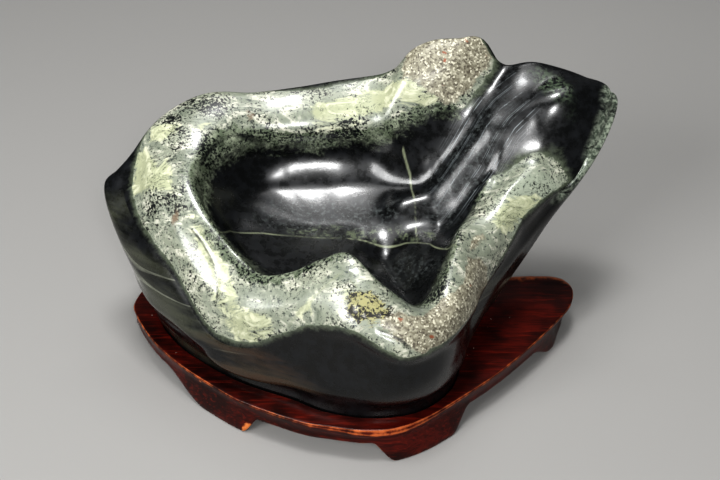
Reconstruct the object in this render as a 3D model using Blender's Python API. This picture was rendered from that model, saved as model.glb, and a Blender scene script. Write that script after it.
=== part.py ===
"""Scholars rock on a carved wooden stand.

The stone is one polished piece with a hollow in its top. It is lofted from
stations round an axis that leans back, and named swells, troughs and ledges
are then pushed into its skin. The stand is one carved piece: a plate with an
apron and bracket feet, and a seat that is cut to the stone's foot.

All sizes below are in millimetres. The object faces -Y and stands on Z = 0,
and the origin is under the middle of the whole.
"""

import math

import bmesh
import bpy
import numpy as np

MM = 0.001

# ---- stone: overall -------------------------------------------------------
FOOT_Z = 17.0            # height where the foot leaves the seat
UNDERSIDE_Z = 14.3       # flat underside, down in the seat
AXIS_X = -8.0            # axis that the stations stand round
AXIS_Y = -10.0           # its place at the foot
AXIS_LEAN = 0.36         # how far it leans back per unit of height
FLOOR_Z = 62.0           # bottom of the hollow
FLANK_SWELL = 2.5        # how much the flank stands out under the belly

# One row per station, going round from the right end by the back:
# bearing, foot radius, belly radius and height, shoulder radius and height,
# crown (rise of the rim band above a straight line), lip radius and height.
STATIONS = [
    (0, 58, 81, 54, 82, 68, 9, 60, 78),
    (5, 61, 93, 64, 96, 76, 10, 66, 82),
    (9, 63, 119, 88, 115, 97, 8, 73, 93),
    (13, 65, 131, 105, 126, 114, 5, 79, 102),
    (18, 67, 126, 104, 117, 118, 4, 77, 107),
    (23, 67, 111, 104, 101, 122.5, 4, 68, 109),
    (27, 66, 96, 103, 87, 125, 3, 60, 110),
    (29, 66, 89, 105, 80, 129, 4, 56, 111),
    (31, 65, 86, 106, 75, 135, 5, 52, 112),
    (35, 63, 81, 106, 66, 134.5, 5, 46, 110),
    (42, 59, 73, 104, 57, 133.5, 5, 40, 108),
    (50, 53, 65, 100, 51, 129, 4, 35, 106),
    (59, 47, 58, 94, 47, 120, 3, 33, 102),
    (76, 42, 49, 86, 44, 115, 3, 31.5, 99),
    (98, 41, 49, 84, 44, 112, 3, 32.2, 97),
    (118, 47, 55, 84, 50, 109, 3, 36, 96),
    (136, 57, 67, 85, 60, 108, 3, 43, 97),
    (152, 78, 79, 82, 78, 109, 4, 54, 99),
    (164, 91, 101, 72, 95, 99, 5, 63, 100),
    (172, 88, 114, 77, 99, 85, 6, 67, 97),
    (182, 78, 99, 57, 93, 76, 6, 69, 93),
    (195, 65, 82, 46, 79, 65, 6, 63, 84),
    (210, 55, 68, 32, 68, 46, 5, 55, 74),
    (226, 48, 58, 30, 59, 45, 5, 52, 71),
    (242, 45, 54, 35, 57, 54, 4, 47, 75),
    (258, 47, 56, 40, 59, 63, 4, 45, 82),
    (274, 50, 61, 42, 67, 67, 4, 47, 86),
    (290, 54, 70, 40, 76, 59, 4, 60, 78),
    (306, 58, 71, 40, 75, 58, 4, 65, 73),
    (324, 59, 66, 40, 71, 58, 4, 60, 76),
    (342, 57, 63, 42, 68, 56, 5, 56, 78),
]

# Where the wall of the hollow runs out into its floor: bearing, radius, height,
# and how far the wall stands back from a straight line up to the lip.
BENCH = [
    (0, 44, 66, 1), (12, 49, 68, 0), (24, 48, 71, 0), (36, 43, 73, 0), (50, 38, 74, 2),
    (68, 35, 74, 3.5), (90, 34, 73.5, 3.7), (112, 35.5, 73.5, 3.7), (130, 41.5, 73.5, 3.7),
    (143, 48.5, 73.5, 2.5), (156, 53, 74, 2), (168, 55, 74, 2), (180, 54, 71, 1.5),
    (196, 48, 67, 1), (212, 42, 64, 1), (230, 37, 63, 1), (250, 32, 63, 1), (270, 29, 64, 1),
    (290, 36, 65.5, 1), (308, 42, 65, 1), (326, 43, 65, 1), (344, 42, 65, 1),
]

# Swells and hollows of the upper skin, seen from above:
# name, x, y, half length, half width, turn in degrees, rise.
SWELLS = [
    ("knob", 80, 14, 24, 16, 35, 7.0),
    ("nose dome", 94, 45, 26, 14, 8, 6.0),
    ("step left of the boss", 10, 56, 12, 12, 0, -3.0),
    ("bank left of the gully", 4, -24, 10, 12, -10, 4.0),
    ("pocket by the right wall", 44, 14, 16, 12, 40, -3.5),
]

# Troughs and ridges of the upper skin, seen from above:
# name, half width, rise, and the points x, y that the run goes through.
RUNS = [
    ("channel to the back notch", 10, -5.0, (34, 44), (50, 49), (62, 60), (71, 77)),
    ("gully", 12, -7.0, (12, 2), (17, -14), (25, -42)),
    ("bank below the channel", 9, 5.0, (20, 26), (42, 31), (58, 40)),
    ("crease behind the knob", 9, -7.0, (64, 27), (82, 33), (104, 28)),
]

# Dents and ribs of the outer wall:
# name, bearing, height, half width along the wall, half height, push outward.
WALL = [
    ("broad dent of the back", 104, 66, 34, 22, -3.5),
    ("rib of the back", 62, 60, 12, 40, 3.0),
    ("dent under the boss", 36, 84, 16, 16, -3.0),
    ("dent of the left back", 150, 58, 24, 16, -3.0),
    ("ledge of the left flank", 186, 40, 34, 5, 1.5),
    ("groove of the left flank", 196, 33, 40, 4, -1.2),
    ("dent of the front", 262, 42, 18, 14, -1.8),
    ("flat under the knob", 356, 44, 20, 14, -1.5),
    ("scoop under the nose", 15, 66, 20, 16, -3.0),
]

STONE_BEARINGS = 76
# Steps in each span of the section, from under the foot to the hollow's floor.
STONE_STEPS = (1, 1, 1, 1, 2, 3, 3, 2, 3, 4, 4, 4, 3, 3, 2, 2)

# ---- stand ----------------------------------------------------------------
TOP_Z = 17.0
PLATE_UNDER_Z = 9.5
SEAT_Z = 14.0
SEAT_GAP = 0.5
FOOT_DEPTH = 9.0

# Outline of the plate, x and y, going round from the left end by the front.
OUTLINE = [
    (-111, 16), (-109, 8), (-104, -2), (-96, -14), (-84, -27), (-70, -39),
    (-54, -51), (-38, -59), (-25, -64.5), (-14, -67), (2, -69.5), (16, -68),
    (30, -61), (47, -47.5), (62, -34.5), (78, -18), (93, 0), (103, 14),
    (106, 27), (102, 36), (90, 38.5), (60, 37), (20, 37.5), (-30, 37.5),
    (-70, 37), (-98, 35), (-107, 28),
]

# Feet: x and y near the middle of each, half length along the outline at the
# ground, the sweep of the apron before and after it, and how far it flares out.
FEET = [
    (-62, -46, 11, 30, 7, 2.6),
    (28, -62, 14, 10, 16, 4.0),
    (98, 7, 8, 16, 14, 0.5),
    (96, 38, 10, 14, 14, 1.0),
    (-4, 37.5, 13, 14, 14, 1.0),
    (-104, 31, 10, 14, 14, 1.0),
]
STAND_POINTS = 144


def clear_objects():
    for ob in list(bpy.data.objects):
        bpy.data.objects.remove(ob, do_unlink=True)


def make_collection(name):
    col = bpy.data.collections.new(name)
    bpy.context.scene.collection.children.link(col)
    return col


def make_material(name, color, roughness):
    mat = bpy.data.materials.new(name)
    mat.use_nodes = True
    shader = mat.node_tree.nodes["Principled BSDF"]
    shader.inputs["Base Color"].default_value = (*color, 1.0)
    shader.inputs["Roughness"].default_value = roughness
    return mat


def smooth_ring(bearings, values, at):
    """Values given at bearings, read anywhere round the ring, rounded through."""
    b = np.radians(np.concatenate([bearings[-2:] - 360, bearings, bearings[:3] + 360]))
    v = np.concatenate([values[-2:], values, values[:3]])
    slope = (v[2:] - v[:-2]) / (b[2:] - b[:-2])
    b, v = b[1:-1], v[1:-1]
    i = np.clip(np.searchsorted(b, at, side="right") - 1, 0, len(b) - 2)
    step = b[i + 1] - b[i]
    u = (at - b[i]) / step
    return ((1 + 2 * u) * (1 - u) ** 2 * v[i] + u * (1 - u) ** 2 * step * slope[i]
            + u * u * (3 - 2 * u) * v[i + 1] - u * u * (1 - u) * step * slope[i + 1])


def section_points(foot, belly, belly_z, shoulder, shoulder_z, crown, lip, lip_z,
                   bench, bench_z, wall):
    """Radius and height of the section's points, from the underside to the floor."""
    run = np.hypot(shoulder - lip, shoulder_z - lip_z)
    out_r = (shoulder + lip) / 2 + crown * (lip_z - shoulder_z) / run
    out_z = (shoulder_z + lip_z) / 2 + crown * (shoulder - lip) / run
    zero = 0 * foot
    return [
        (zero, zero + UNDERSIDE_Z),
        (foot * 0.6, zero + UNDERSIDE_Z),
        (foot - 2.0, zero + UNDERSIDE_Z),
        (foot - 0.4, zero + UNDERSIDE_Z + 0.9),
        (foot + 0.3, zero + FOOT_Z + 0.5),
        (foot + 0.1 * (belly - foot) + 1.2, zero + FOOT_Z + 6.0),
        ((foot + belly) / 2 + FLANK_SWELL, (FOOT_Z + belly_z) / 2 + 2),
        (belly, belly_z),
        (shoulder + 0.7 * (belly - shoulder) + 0.6, shoulder_z - 0.38 * (shoulder_z - belly_z)),
        (shoulder, shoulder_z),
        (out_r, out_z),
        (lip, lip_z),
        (lip * 0.5 + bench * 0.5 + wall, lip_z * 0.42 + bench_z * 0.58),
        (bench, bench_z),
        (bench * 0.83, bench_z * 0.52 + FLOOR_Z * 0.48),
        (bench * 0.45, bench_z * 0.07 + FLOOR_Z * 0.93),
        (zero, zero + FLOOR_Z),
    ]


def along_section(points, t):
    """Radius and height at t, a share of the way along the section's points."""
    rows = np.array(points)
    first = rows[1] * [[-1], [1]]
    last = rows[-2] * [[-1], [1]]
    rows = np.concatenate([[first], rows, [last]])
    s = t * (len(points) - 1)
    i = np.clip(s.astype(int), 0, len(points) - 2)
    u = (s - i)[:, None, None]
    a, b, c, d = rows[i], rows[i + 1], rows[i + 2], rows[i + 3]
    return 0.5 * (2 * b + (c - a) * u + (2 * a - 5 * b + 4 * c - d) * u ** 2
                  + (3 * b - a - 3 * c + d) * u ** 3)


def swell_rise(x, y):
    rise = np.zeros_like(x)
    for _name, cx, cy, half_length, half_width, turn, height in SWELLS:
        c, s = math.cos(math.radians(turn)), math.sin(math.radians(turn))
        u = ((x - cx) * c + (y - cy) * s) / half_length
        v = ((y - cy) * c - (x - cx) * s) / half_width
        rise += height * np.exp(-1.5 * (u * u + v * v))
    return rise


def run_rise(x, y):
    rise = np.zeros_like(x)
    for _name, half_width, height, *points in RUNS:
        off = off_line(x, y, points)
        rise += height * np.exp(-1.5 * (off / half_width) ** 2)
    return rise


def off_line(x, y, points):
    """Distance, seen from above, to the line through the points."""
    best = np.full_like(x, 1e3)
    for (ax, ay), (bx, by) in zip(points, points[1:]):
        length = math.hypot(bx - ax, by - ay)
        ux, uy = (bx - ax) / length, (by - ay) / length
        along = np.clip((x - ax) * ux + (y - ay) * uy, 0, length)
        best = np.minimum(best, np.hypot(x - ax - along * ux, y - ay - along * uy))
    return best


def wall_push(bearing, radius, z):
    push = np.zeros_like(z)
    for _name, middle, height, half_width, half_height, out in WALL:
        u, v = wall_place(bearing, radius, z, middle, height)
        push += out * np.exp(-1.5 * ((u / half_width) ** 2 + (v / half_height) ** 2))
    return push


def wall_place(bearing, radius, z, middle, height):
    """Distance along the wall, and up it, from a place on it."""
    turn = (bearing - math.radians(middle) + math.pi) % (2 * math.pi) - math.pi
    return turn * np.maximum(radius, 30), z - height


def stone_surface(bearing, t):
    """Points of the stone's skin in millimetres, for arrays of bearing and t."""
    columns = []
    for table in (np.array(STATIONS, float), np.array(BENCH, float)):
        columns += [smooth_ring(table[:, 0], table[:, k], bearing)
                    for k in range(1, table.shape[1])]
    rows = along_section(section_points(*columns), t)
    radius, z = rows[:, 0, :], rows[:, 1, :]
    outer = np.clip(9.5 - t * 16, 0, 1)[:, None] * np.clip((z - FOOT_Z - 4) / 8, 0, 1)
    radius = radius + outer * wall_push(bearing, radius, z)
    lean = AXIS_LEAN * np.maximum(z - FOOT_Z, 0)
    x = AXIS_X + radius * np.cos(bearing)
    y = AXIS_Y + lean + radius * np.sin(bearing)
    upper = np.clip((t * 16 - 7.5) / 1.5, 0, 1)[:, None]
    upper = upper * upper * (3 - 2 * upper)
    z = z + upper * (swell_rise(x, y) + run_rise(x, y))
    return np.stack([x, y, z], axis=-1)


def grid_mesh(name, rings, close_first, close_last):
    """A closed skin over rings of points; the end rings shrink to a point."""
    bm = bmesh.new()
    rows = []
    for k, ring in enumerate(rings):
        single = (k == 0 and close_first) or (k == len(rings) - 1 and close_last)
        points = ring[:1] if single else ring
        rows.append([bm.verts.new(p * MM) for p in points])
    for low, high in zip(rows, rows[1:]):
        count = max(len(low), len(high))
        for i in range(count):
            j = (i + 1) % count
            corners = [low[i % len(low)], low[j % len(low)],
                       high[j % len(high)], high[i % len(high)]]
            face = list(dict.fromkeys(corners))
            bm.faces.new(face)
    bmesh.ops.recalc_face_normals(bm, faces=bm.faces)
    mesh = bpy.data.meshes.new(name)
    bm.to_mesh(mesh)
    bm.free()
    return mesh


def add_object(name, mesh, col, mat=None):
    ob = bpy.data.objects.new(name, mesh)
    if mat:
        mesh.materials.append(mat)
    col.objects.link(ob)
    return ob


def stone_bearings():
    """Bearings at even steps along the line of the shoulder."""
    table = np.array(STATIONS, float)
    turn = np.linspace(0, 2 * math.pi, 721)
    radius = smooth_ring(table[:, 0], table[:, 4], turn[:-1])
    radius = np.append(radius, radius[0])
    x, y = radius * np.cos(turn), radius * np.sin(turn)
    length = np.concatenate([[0], np.cumsum(np.hypot(np.diff(x), np.diff(y)))])
    at = np.arange(STONE_BEARINGS) * length[-1] / STONE_BEARINGS
    return np.interp(at, length, turn)


def make_stone(col):
    spans = [np.arange(n) / n + k for k, n in enumerate(STONE_STEPS)]
    t = np.append(np.concatenate(spans), len(STONE_STEPS)) / len(STONE_STEPS)
    points = stone_surface(stone_bearings(), t)
    mesh = grid_mesh("stone", list(points), True, True)
    return add_object("stone", mesh, col, make_material("polished stone", (0.03, 0.035, 0.03), 0.15))


def foot_outline(gap):
    """The stone's foot where it meets the plate, grown by the gap."""
    bearing = stone_bearings()
    table = np.array(STATIONS, float)
    radius = smooth_ring(table[:, 0], table[:, 1], bearing) + gap
    return np.stack([AXIS_X + radius * np.cos(bearing),
                     AXIS_Y + radius * np.sin(bearing)], axis=-1)


def round_outline(points, count):
    """The closed outline through the points, with even steps along it."""
    p = np.array(points, float)
    n = len(p)
    dense = []
    for i in range(n):
        a, b, c, d = (p[(i + k) % n] for k in (-1, 0, 1, 2))
        for u in np.linspace(0, 1, 16, endpoint=False):
            dense.append(0.5 * (2 * b + (c - a) * u + (2 * a - 5 * b + 4 * c - d) * u * u
                                + (3 * b - a - 3 * c + d) * u ** 3))
    dense = np.array(dense)
    closed = np.vstack([dense, dense[:1]])
    length = np.concatenate([[0], np.cumsum(np.hypot(*np.diff(closed, axis=0).T))])
    at = np.arange(count) * length[-1] / count
    return np.stack([np.interp(at, length, closed[:, k]) for k in (0, 1)], axis=-1)


def smooth_step(x):
    x = np.clip(x, 0, 1)
    return x * x * (3 - 2 * x)


def foot_share(outline):
    """How far the feet are under the outline, from 0 to 1, and their flare."""
    n = len(outline)
    step = np.hypot(*(outline[1] - outline[0]))
    share = np.zeros(n)
    flare = np.zeros(n)
    for x, y, half, before, after, out in FEET:
        middle = int(np.argmin(np.hypot(outline[:, 0] - x, outline[:, 1] - y)))
        away = ((np.arange(n) - middle + n // 2) % n - n // 2) * step
        sweep = np.where(away < 0, before, after)
        here = 1 - smooth_step((np.abs(away) - half) / sweep)
        share = np.maximum(share, here)
        flare += out * here
    return share, flare


def make_stand(col, cutters):
    outline = round_outline(OUTLINE, STAND_POINTS)
    ahead = np.roll(outline, -1, axis=0) - np.roll(outline, 1, axis=0)
    inward = np.stack([-ahead[:, 1], ahead[:, 0]], axis=-1)
    inward /= np.hypot(*inward.T)[:, None]
    foot, flare = foot_share(outline)
    back = smooth_step((outline[:, 1] - 26) / 9)
    apex = np.exp(-((outline[:, 0] - 12) / 22) ** 2) * (outline[:, 1] < 0)
    under = 8.0 - 8.0 * foot
    inset = 3.5 * smooth_step((outline[:, 0] - 94) / 9)
    middle = np.array([0.0, -15.0])

    def ring(offset, z):
        flat = outline + inward * np.reshape(offset * np.ones(len(outline)), (-1, 1))
        return np.column_stack([flat, z * np.ones(len(outline))])

    def point_ring(z):
        return np.column_stack([np.tile(middle, (len(outline), 1)), z * np.ones(len(outline))])

    rings = [
        point_ring(TOP_Z),
        ring(0.9 + 7.0 * back, TOP_Z),
        ring(0.25, TOP_Z - 0.25 - 0.9 * back),
        ring(0.0 - 0.9 * apex, TOP_Z - 0.9 - 0.9 * back - 1.4 * apex),
        ring(0.9 - 1.2 * apex + 0.4 * inset, 12.6),
        ring(1.1 - 0.3 * flare + inset, 10.2),
        ring(0.9 - 0.8 * flare + inset, 9.2 * (1 - foot) + 4.5 * foot),
        ring(0.9 - 1.1 * flare + inset, under + 0.5),
        ring(1.4 - 1.1 * flare + inset, under),
        ring(7.0 + (FOOT_DEPTH - 7.0) * foot + inset, under),
        ring(7.6 + (FOOT_DEPTH - 6.0) * foot + inset, PLATE_UNDER_Z),
        point_ring(PLATE_UNDER_Z),
    ]
    mesh = grid_mesh("stand", rings, True, True)
    stand = add_object("stand", mesh, col, make_material("red wood", (0.08, 0.012, 0.008), 0.3))

    foot_line = foot_outline(SEAT_GAP)
    count = len(foot_line)
    centre = np.tile([AXIS_X, AXIS_Y], (count, 1))
    seat_rings = [
        np.column_stack([flat, np.full(count, z)])
        for flat, z in ((centre, SEAT_Z), (foot_line, SEAT_Z),
                        (foot_line, TOP_Z + 6.0), (centre, TOP_Z + 6.0))
    ]
    seat_mesh = grid_mesh("seat cutter", seat_rings, True, True)
    seat = add_object("seat cutter", seat_mesh, cutters)
    seat.hide_render = True
    seat.display_type = "WIRE"
    cut = stand.modifiers.new("seat", "BOOLEAN")
    cut.operation = "DIFFERENCE"
    cut.solver = "EXACT"
    cut.object = seat
    return stand


def main():
    clear_objects()
    col = make_collection("scholars rock")
    cutters = make_collection("cutters")
    make_stone(col)
    make_stand(col, cutters)


main()
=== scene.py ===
"""Scholars rock on its carved stand: polished stone and lacquered wood.

The stone is lofted from the same stations as its solid, finely enough to show
its ledges and pits. Its skin carries a few numbers at every point, such as how
far that point lies inside the pale rind in millimetres, and the stone's material
draws the minerals from them. The stand is lofted from its outline in the same way.

Sizes in the tables are millimetres. The object faces -Y and stands on Z = 0.
"""

import math
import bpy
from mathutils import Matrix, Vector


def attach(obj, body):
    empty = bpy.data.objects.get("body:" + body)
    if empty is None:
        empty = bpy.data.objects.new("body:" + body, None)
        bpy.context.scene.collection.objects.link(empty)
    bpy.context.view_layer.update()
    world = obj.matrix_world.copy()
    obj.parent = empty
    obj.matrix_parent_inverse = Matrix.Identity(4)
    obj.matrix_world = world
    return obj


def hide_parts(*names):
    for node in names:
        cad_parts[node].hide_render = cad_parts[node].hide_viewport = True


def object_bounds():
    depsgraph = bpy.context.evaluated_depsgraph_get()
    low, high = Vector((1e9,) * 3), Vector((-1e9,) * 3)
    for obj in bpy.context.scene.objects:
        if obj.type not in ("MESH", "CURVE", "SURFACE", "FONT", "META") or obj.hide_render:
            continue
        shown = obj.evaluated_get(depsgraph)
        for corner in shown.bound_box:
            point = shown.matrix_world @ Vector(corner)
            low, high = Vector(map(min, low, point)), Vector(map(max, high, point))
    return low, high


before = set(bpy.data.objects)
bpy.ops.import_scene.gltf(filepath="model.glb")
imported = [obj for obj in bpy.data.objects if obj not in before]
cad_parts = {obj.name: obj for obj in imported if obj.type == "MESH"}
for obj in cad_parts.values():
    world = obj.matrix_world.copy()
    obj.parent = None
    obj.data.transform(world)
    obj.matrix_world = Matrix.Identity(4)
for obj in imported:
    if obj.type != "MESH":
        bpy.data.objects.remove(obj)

from types import SimpleNamespace

import bmesh
import bpy
import numpy as np
from bpy.props import FloatProperty, FloatVectorProperty, IntProperty, PointerProperty
from bpy.types import Operator, Panel, PropertyGroup
from mathutils import Vector

bl_info = {
    "name": "Scholars rock",
    "version": (1, 0, 0),
    "blender": (4, 5, 0),
    "location": "View3D > Sidebar > Rock",
    "description": "A polished viewing stone with a hollow, on its carved wooden stand",
    "category": "Object",
}

CAD_BOX = [list(corner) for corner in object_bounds()]
MM = 0.001

# ---- stone: the form --------------------------------------------------------
FOOT_Z = 17.0            # height where the foot leaves the seat
UNDERSIDE_Z = 14.3       # flat underside, down in the seat
AXIS_X = -8.0            # axis that the stations stand round
AXIS_Y = -10.0           # its place at the foot
AXIS_LEAN = 0.36         # how far it leans back per unit of height
FLOOR_Z = 62.0           # bottom of the hollow
FLANK_SWELL = 2.5        # how much the flank stands out under the belly

# One row per station, going round from the right end by the back:
# bearing, foot radius, belly radius and height, shoulder radius and height,
# crown (rise of the rim band above a straight line), lip radius and height.
STATIONS = [
    (0, 58, 81, 54, 82, 68, 9, 60, 78),
    (5, 61, 93, 64, 96, 76, 10, 66, 82),
    (9, 63, 119, 88, 115, 97, 8, 73, 93),
    (13, 65, 131, 105, 126, 114, 5, 79, 102),
    (18, 67, 126, 104, 117, 118, 4, 77, 107),
    (23, 67, 111, 104, 101, 122.5, 4, 68, 109),
    (27, 66, 96, 103, 87, 125, 3, 60, 110),
    (29, 66, 89, 105, 80, 129, 4, 56, 111),
    (31, 65, 86, 106, 75, 135, 5, 52, 112),
    (35, 63, 81, 106, 66, 134.5, 5, 46, 110),
    (42, 59, 73, 104, 57, 133.5, 5, 40, 108),
    (50, 53, 65, 100, 51, 129, 4, 35, 106),
    (59, 47, 58, 94, 47, 120, 3, 33, 102),
    (76, 42, 49, 86, 44, 115, 3, 31.5, 99),
    (98, 41, 49, 84, 44, 112, 3, 32.2, 97),
    (118, 47, 55, 84, 50, 109, 3, 36, 96),
    (136, 57, 67, 85, 60, 108, 3, 43, 97),
    (152, 78, 79, 82, 78, 109, 4, 54, 99),
    (164, 91, 101, 72, 95, 99, 5, 63, 100),
    (172, 88, 114, 77, 99, 85, 6, 67, 97),
    (182, 78, 99, 57, 93, 76, 6, 69, 93),
    (195, 65, 82, 46, 79, 65, 6, 63, 84),
    (210, 55, 68, 32, 68, 46, 5, 55, 74),
    (226, 48, 58, 30, 59, 45, 5, 52, 71),
    (242, 45, 54, 35, 57, 54, 4, 47, 75),
    (258, 47, 56, 40, 59, 63, 4, 45, 82),
    (274, 50, 61, 42, 67, 67, 4, 47, 86),
    (290, 54, 70, 40, 76, 59, 4, 60, 78),
    (306, 58, 71, 40, 75, 58, 4, 65, 73),
    (324, 59, 66, 40, 71, 58, 4, 60, 76),
    (342, 57, 63, 42, 68, 56, 5, 56, 78),
]

# Where the wall of the hollow runs out into its floor: bearing, radius, height,
# and how far the wall stands back from a straight line up to the lip.
BENCH = [
    (0, 44, 66, 1), (12, 49, 68, 0), (24, 48, 71, 0), (36, 43, 73, 0), (50, 38, 74, 2),
    (68, 35, 74, 3.5), (90, 34, 73.5, 3.7), (112, 35.5, 73.5, 3.7), (130, 41.5, 73.5, 3.7),
    (143, 48.5, 73.5, 2.5), (156, 53, 74, 2), (168, 55, 74, 2), (180, 54, 71, 1.5),
    (196, 48, 67, 1), (212, 42, 64, 1), (230, 37, 63, 1), (250, 32, 63, 1), (270, 29, 64, 1),
    (290, 36, 65.5, 1), (308, 42, 65, 1), (326, 43, 65, 1), (344, 42, 65, 1),
]

# Swells and hollows of the upper skin, seen from above:
# name, x, y, half length, half width, turn in degrees, rise.
SWELLS = [
    ("knob", 80, 14, 24, 16, 35, 7.0),
    ("nose dome", 94, 45, 26, 14, 8, 6.0),
    ("step left of the boss", 10, 56, 12, 12, 0, -3.0),
    ("bank left of the gully", 4, -24, 10, 12, -10, 4.0),
    ("pocket by the right wall", 44, 14, 16, 12, 40, -3.5),
]

# Troughs and ridges of the upper skin, seen from above:
# name, half width, rise, and the points x, y that the run goes through.
RUNS = [
    ("channel to the back notch", 10, -5.0, (34, 44), (50, 49), (62, 60), (71, 77)),
    ("gully", 12, -7.0, (12, 2), (17, -14), (25, -42)),
    ("bank below the channel", 9, 5.0, (20, 26), (42, 31), (58, 40)),
    ("crease behind the knob", 9, -7.0, (64, 27), (82, 33), (104, 28)),
]

# Dents and ribs of the outer wall:
# name, bearing, height, half width along the wall, half height, push outward.
WALL = [
    ("broad dent of the back", 104, 66, 34, 22, -3.5),
    ("rib of the back", 62, 60, 12, 40, 3.0),
    ("dent under the boss", 36, 84, 16, 16, -3.0),
    ("dent of the left back", 150, 58, 24, 16, -3.0),
    ("ledge of the left flank", 186, 40, 34, 5, 1.5),
    ("groove of the left flank", 196, 33, 40, 4, -1.2),
    ("dent of the front", 262, 42, 18, 14, -1.8),
    ("flat under the knob", 356, 44, 20, 14, -1.5),
    ("scoop under the nose", 15, 66, 20, 16, -3.0),
]

# Steps in each span of the section, from under the foot to the hollow's floor.
STONE_STEPS = (2, 3, 2, 2, 6, 16, 16, 12, 12, 22, 22, 26, 20, 14, 14, 10)
SPANS = len(STONE_STEPS)
SHOULDER_SPAN = 9        # the spans that the rim band lies between
LIP_SPAN = 11
SWELL_SPANS = 1.5        # the swells set in over this many spans below the shoulder
FALL = 1.5               # how fast a swell or a dent dies away from its middle
LEAST_RADIUS = 30        # the wall is measured as if it were at least this far out
RING_SAMPLES = 1440      # steps to measure the shoulder's length with
BOX_MARGIN = 0.12        # how far the skin stays inside the solid's box
BOX_KNEE = 22.0          # over how much of it the skin is drawn in

# ---- stone: the minerals ----------------------------------------------------
# Where the pale rind ends, as shifts in mm from the shoulder (outer edge) and
# from the lip (inner edge), and how wide it fades into the black of the hollow:
# bearing, outer shift, inner shift, fade.
RIND = [
    (0, 0, 2, 5), (8, 0, 2, 4), (14, -2, 0, 3), (27, 0, -2, 3), (42, 0, 0, 8), (60, -1, 2, 8),
    (80, -3, 2, 8), (120, -3, 2, 8), (136, 0, 1, 9), (152, 0, -2, 12), (170, 0, -3, 20),
    (200, 0, -4, 22), (216, 0, -4, 14), (260, 0, -3, 10), (290, 0, -1, 7), (345, 0, 1, 6),
]

# Areas seen from above, each by its outline: mineral, then points x, y.
AREAS = [
    ("granite", (20, 57), (21, 68), (30, 74), (46, 78), (56, 78), (63, 71), (61, 66), (56, 62),
     (51, 56), (45, 52), (38, 52), (32, 53), (26, 56)),
    ("granite", (8, -60), (9, -56), (14, -55), (26, -53), (32, -45), (42, -38), (46, -30),
     (46, -24), (48, -19), (53, -14), (58, -13), (57, -22), (52, -37), (45, -49), (37, -58),
     (29, -63), (18, -64), (11, -61)),
    ("granite", (51, -5), (56, -3), (57, -5), (53, -9), (48, -15)),
    ("nodule", (-6, -50), (-2, -49), (4, -48), (8, -50), (11, -53), (10, -56), (5, -59),
     (0, -57), (-4, -55)),
    ("plain", (-13, -49), (-5, -48), (-6, -53), (-10, -53)),
    ("plain", (-59, -36), (-54, -37), (-44, -40), (-40, -43), (-38, -45), (-45, -44), (-53, -41)),
    ("plain", (-26, -46), (-20, -45), (-21, -48)),
    ("plain", (-106, 37), (-101, 36), (-92, 22), (-89, 25), (-85, 14), (-85, 10), (-92, 12),
     (-100, 16), (-106, 20)),
    ("plain", (-97, 46), (-84, 41), (-85, 39), (-91, 37), (-98, 39)),
    ("plain", (-76, 42), (-69, 46), (-69, 43), (-74, 40)),
    ("plain", (-25, 55), (-21, 58), (-5, 59), (6, 61), (16, 59), (23, 56), (25, 54), (16, 52),
     (-5, 52), (-14, 52), (-22, 52)),
    ("plain", (23, 56), (32, 53), (37, 52), (30, 50), (19, 51)),
    ("plain", (60, 3), (68, 11), (78, 16), (84, 16), (75, 9), (64, 0)),
    ("bare", (62, 65), (57, 60), (52, 54.5), (47, 50.5), (52, 44), (60, 28), (67, 27), (74, 30),
     (83, 32), (93, 31), (98, 28), (110, 20), (135, 40), (130, 90), (70, 90)),
]

# Patches seen from above: mineral, x, y, half length, half width, turn in degrees.
PATCHES = [
    ("dark", -86, 45, 16, 6, 40), ("dark", -65, 52, 18, 6, 8), ("dark", -88, 4, 16, 6, -30),
    ("dark", -82, 25, 6, 5, 0), ("dark", 27, 53, 6, 3, 0), ("dark", -27, 48, 26, 3, 3),
    ("dark", 19, -46, 7, 4, 0), ("dark", -5, -46, 6, 3, 0),
    ("plain", -66, -19, 16, 3.5, -65), ("plain", -59, -27, 12, 2.5, -65),
    ("grey", 82, 15, 20, 9, 25), ("grey", 20, -44, 5, 3, 0),
    ("moss", 88.5, 55, 12, 5.5, -52), ("tip", 114, 42, 14, 3.5, 66),
    # the grey dust patches are dust and also a painted sheen: on the gully's facet, the channel
    # and the hollow's floor their grey stands in for reflected light
    ("scratched", 58, 40, 30, 14, 40), ("dusty", 50, 34, 24, 10, 40), ("dusty", 38, 20, 9, 7, 0),
    ("dusty", -16, 22, 36, 12, 0), ("dusty", 23, -11, 13, 9, -45),
    ("rust", -51.8, 53, 3.4, 1.6, 90), ("rust", -82.8, -1.5, 3.4, 1.3, 90),
]

# Patches of the outer wall: mineral, bearing, height, half width, half height.
WALL_PATCHES = [
    ("veil", 192, 36, 30, 16), ("veil", 228, 26, 24, 8), ("veil", 350, 38, 30, 22),
    ("veil", 176, 66, 26, 9), ("veil", 130, 50, 44, 14), ("veil", 66, 84, 30, 12),
    ("brown", 226, 33, 24, 9), ("brown", 150, 30, 20, 7),
    ("tip", 12, 94, 14, 24),
]
MINERALS = ("plain", "granite", "nodule", "bare", "dark", "grey", "rust", "moss", "scratched",
            "dusty", "veil", "brown", "tip")
UPPER_SPAN = 8.6         # from this span on, the skin is marked as seen from above
FAR_OUTSIDE = -30.0      # a mineral's depth where it has no area
FAR_FROM_LINE = 60.0     # and a line's distance where there is none
STRIPE_REACH = 3.8       # half width of the stripe that crosses the hollow

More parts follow.
